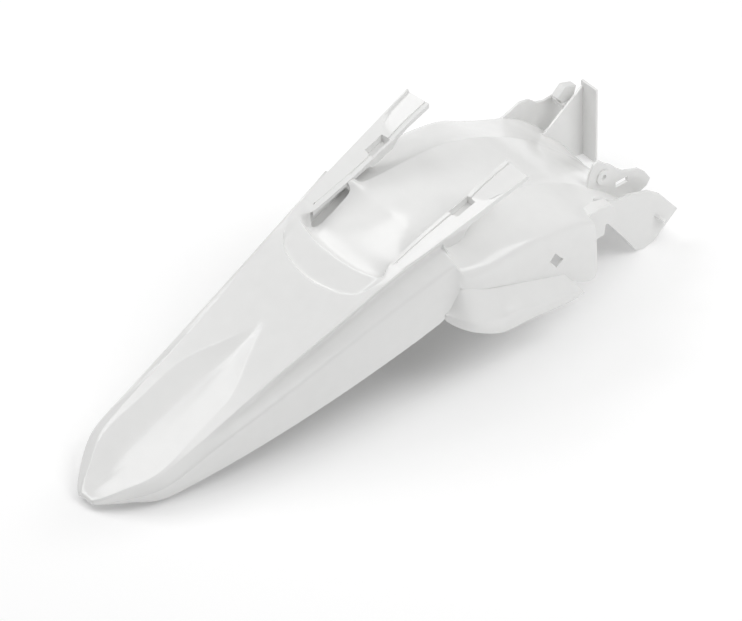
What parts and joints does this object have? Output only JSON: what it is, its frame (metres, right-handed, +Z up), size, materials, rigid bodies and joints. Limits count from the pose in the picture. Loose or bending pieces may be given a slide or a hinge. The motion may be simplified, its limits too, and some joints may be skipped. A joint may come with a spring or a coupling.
{
  "type": "motorcycle rear fender",
  "caption": "White moulded plastic rear fender for an off-road motorcycle, with a pointed tail, seat rails, wheel arch, side wings and front brackets.",
  "frame": {"origin": "centre of the footprint at floor level, with the fender resting on its tail tip and front brackets", "axes": "+Y towards the front of the motorcycle, +X to the rider's right, +Z up"},
  "size_m": [0.2652, 0.736, 0.2023],
  "materials": {
    "fender_plastic": "glossy white"
  },
  "bodies": {
    "root": {"rear_fender": "fender_plastic"}
  },
  "joints": []
}
